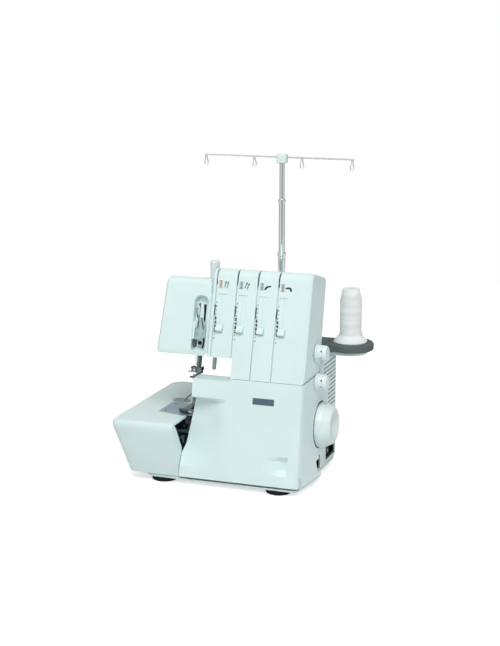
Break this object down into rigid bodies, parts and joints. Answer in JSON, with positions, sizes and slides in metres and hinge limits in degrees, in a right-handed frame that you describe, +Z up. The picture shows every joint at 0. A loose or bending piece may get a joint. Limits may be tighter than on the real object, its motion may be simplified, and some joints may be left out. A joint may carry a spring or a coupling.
{
  "type": "serger overlock machine",
  "caption": "Household overlocker: leaning tension housing, looper cover, swing-out cloth plate, handwheel and a telescopic mast with looped thread guide bar behind it.",
  "frame": {"origin": "middle of the footprint box, on the table under the rubber feet", "axes": "+Z up along the mast, +X towards the handwheel side, +Y towards the spool stand at the back; the front faces -Y"},
  "size_m": [0.3144, 0.2334, 0.4371],
  "materials": {
    "white_plastic": "satin white moulded plastic with a faint cool tint",
    "warm_plastic": "satin white plastic knobs",
    "black_rubber": "matte black rubber",
    "black_plastic": "matte black plastic",
    "grey_foam": "dark grey soft mat",
    "chrome": "bright chrome plating",
    "steel": "ground steel",
    "casting": "as-cast alloy",
    "motor_case": "dark painted steel can",
    "thread": "wound white thread",
    "belt": "black toothed rubber belt"
  },
  "bodies": {
    "machine": {"base_tray": "white_plastic", "foot_front_left": "black_rubber", "foot_front_right": "black_rubber", "foot_rear_left": "black_rubber", "foot_rear_right": "black_rubber", "lower_casing": "white_plastic", "rear_cover": "white_plastic", "looper_cover_hinge_rod": "steel", "cloth_plate_hinge_pin": "steel", "needle_plate": "steel", "machine_frame": "casting", "upper_housing": "white_plastic", "tension_discs_1": "chrome", "tension_discs_2": "chrome", "tension_discs_3": "chrome", "tension_discs_4": "chrome", "face_cover": "white_plastic", "take_up_cover": "chrome", "lower_knife": "steel", "drive_motor": "motor_case", "timing_belt": "belt", "foot_control_socket": "black_plastic", "power_inlet": "black_plastic", "spool_stand": "white_plastic", "spool_mat": "grey_foam", "thread_spool_1": "thread", "thread_spool_2": "thread", "thread_spool_3": "thread", "thread_spool_4": "thread", "mast_lower_tube": "chrome"},
    "handwheel": {"handwheel": "warm_plastic", "main_shaft": "steel"},
    "motor_shaft": {"motor_pulley": "steel"},
    "needle_carriage": {"needle_bar": "chrome", "needle_clamp": "steel"},
    "take_up": {"thread_take_up": "chrome"},
    "lower_looper": {"lower_looper": "chrome"},
    "upper_looper": {"upper_looper": "chrome"},
    "upper_knife": {"upper_knife": "steel"},
    "feed_dog": {"feed_dog": "steel"},
    "presser": {"presser_bar": "chrome", "presser_foot": "steel"},
    "presser_lifter": {"presser_foot_lifter": "warm_plastic"},
    "pressure_regulator": {"pressure_regulator": "warm_plastic"},
    "differential_feed_dial": {"differential_feed_dial": "warm_plastic"},
    "stitch_length_dial": {"stitch_length_dial": "warm_plastic"},
    "tension_slider_1": {"tension_slider_1": "warm_plastic"},
    "tension_slider_2": {"tension_slider_2": "warm_plastic"},
    "tension_slider_3": {"tension_slider_3": "warm_plastic"},
    "tension_slider_4": {"tension_slider_4": "warm_plastic"},
    "power_switch": {"power_switch": "black_plastic"},
    "cover_sleeve": {"looper_cover_sleeve": "steel"},
    "looper_cover": {"looper_cover": "white_plastic"},
    "cloth_plate": {"cloth_plate": "white_plastic", "cloth_plate_seam_gauge": "steel"},
    "mast_middle": {"mast_middle_tube": "chrome"},
    "mast_upper": {"mast_upper_tube": "chrome"},
    "thread_guide": {"guide_bar_clip": "warm_plastic", "thread_guide_bar": "chrome"}
  },
  "joints": [
    {"name": "handwheel_turn", "type": "hinge", "parent": "machine", "child": "handwheel", "pos_m": [0.10662, -0.00085, 0.076], "axis": [1, 0, 0], "continuous": true},
    {"name": "motor_turn", "type": "hinge", "parent": "machine", "child": "motor_shaft", "pos_m": [0.03662, 0.06165, 0.048], "axis": [1, 0, 0], "continuous": true},
    {"name": "needle_stroke", "type": "slide", "parent": "machine", "child": "needle_carriage", "axis": [0, 0.2588, 0.9659], "range_m": [-0.024, 0]},
    {"name": "take_up_swing", "type": "hinge", "parent": "machine", "child": "take_up", "pos_m": [-0.05337, -0.03265, 0.214], "axis": [1, 0, 0], "range_deg": [0, 14]},
    {"name": "lower_looper_swing", "type": "hinge", "parent": "machine", "child": "lower_looper", "pos_m": [-0.02738, -0.04475, 0.034], "axis": [0, 1, 0], "range_deg": [0, 16]},
    {"name": "upper_looper_swing", "type": "hinge", "parent": "machine", "child": "upper_looper", "pos_m": [-0.05337, -0.04775, 0.04], "axis": [0, 1, 0], "range_deg": [0, 18]},
    {"name": "upper_knife_swing", "type": "hinge", "parent": "machine", "child": "upper_knife", "pos_m": [-0.01137, -0.04735, 0.1], "axis": [0, 1, 0], "range_deg": [-6, 0]},
    {"name": "feed_shift", "type": "slide", "parent": "machine", "child": "feed_dog", "axis": [0, 1, 0], "range_m": [-0.003, 0]},
    {"name": "presser_lift", "type": "slide", "parent": "machine", "child": "presser", "axis": [0, 0, 1], "range_m": [0, 0.006]},
    {"name": "lifter_swing", "type": "hinge", "parent": "machine", "child": "presser_lifter", "pos_m": [-0.04337, -0.00835, 0.186], "axis": [1, 0, 0], "range_deg": [0, 40]},
    {"name": "pressure_turn", "type": "hinge", "parent": "machine", "child": "pressure_regulator", "pos_m": [-0.05038, 0.00765, 0.26723], "axis": [0, 0, 1], "range_deg": [-360, 360]},
    {"name": "differential_feed_turn", "type": "hinge", "parent": "machine", "child": "differential_feed_dial", "pos_m": [0.10662, -0.02085, 0.182], "axis": [1, 0, 0], "range_deg": [-60, 150]},
    {"name": "stitch_length_turn", "type": "hinge", "parent": "machine", "child": "stitch_length_dial", "pos_m": [0.10662, -0.01935, 0.141], "axis": [1, 0, 0], "range_deg": [-150, 60]},
    {"name": "tension_1", "type": "slide", "parent": "machine", "child": "tension_slider_1", "axis": [0, 0.2588, 0.9659], "range_m": [0, 0.04]},
    {"name": "tension_2", "type": "slide", "parent": "machine", "child": "tension_slider_2", "axis": [0, 0.2588, 0.9659], "range_m": [0, 0.04]},
    {"name": "tension_3", "type": "slide", "parent": "machine", "child": "tension_slider_3", "axis": [0, 0.2588, 0.9659], "range_m": [0, 0.04]},
    {"name": "tension_4", "type": "slide", "parent": "machine", "child": "tension_slider_4", "axis": [0, 0.2588, 0.9659], "range_m": [0, 0.04]},
    {"name": "switch_rock", "type": "hinge", "parent": "machine", "child": "power_switch", "pos_m": [0.10222, 0.03915, 0.027], "axis": [0, 0, 1], "range_deg": [0, 14]},
    {"name": "cover_slide", "type": "slide", "parent": "machine", "child": "cover_sleeve", "axis": [1, 0, 0], "range_m": [0, 0.006]},
    {"name": "cover_tilt", "type": "hinge", "parent": "cover_sleeve", "child": "looper_cover", "pos_m": [0.05663, -0.09151, 0.0176], "axis": [1, 0, 0], "range_deg": [0, 75]},
    {"name": "cloth_plate_swing", "type": "hinge", "parent": "machine", "child": "cloth_plate", "pos_m": [-0.07708, 0.09865, 0.012], "axis": [0, 0, 1], "range_deg": [-50, 0]},
    {"name": "mast_middle_slide", "type": "slide", "parent": "machine", "child": "mast_middle", "axis": [0, 0, 1], "range_m": [-0.07, 0]},
    {"name": "mast_upper_slide", "type": "slide", "parent": "mast_middle", "child": "mast_upper", "axis": [0, 0, 1], "range_m": [-0.05, 0]},
    {"name": "guide_bar_turn", "type": "hinge", "parent": "mast_upper", "child": "thread_guide", "pos_m": [0.02133, 0.08365, 0.4325], "axis": [0, 0, 1], "range_deg": [-90, 90]}
  ],
  "couplings": [
    {"joint": "motor_turn", "follows": "handwheel_turn", "ratio": 3},
    {"joint": "take_up_swing", "follows": "needle_stroke", "rad_per_m": -10},
    {"joint": "lower_looper_swing", "follows": "needle_stroke", "rad_per_m": -11.6},
    {"joint": "upper_looper_swing", "follows": "needle_stroke", "rad_per_m": -13},
    {"joint": "upper_knife_swing", "follows": "needle_stroke", "rad_per_m": 4.3},
    {"joint": "feed_shift", "follows": "needle_stroke", "ratio": 0.125},
    {"joint": "lifter_swing", "follows": "presser_lift", "rad_per_m": 116}
  ]
}
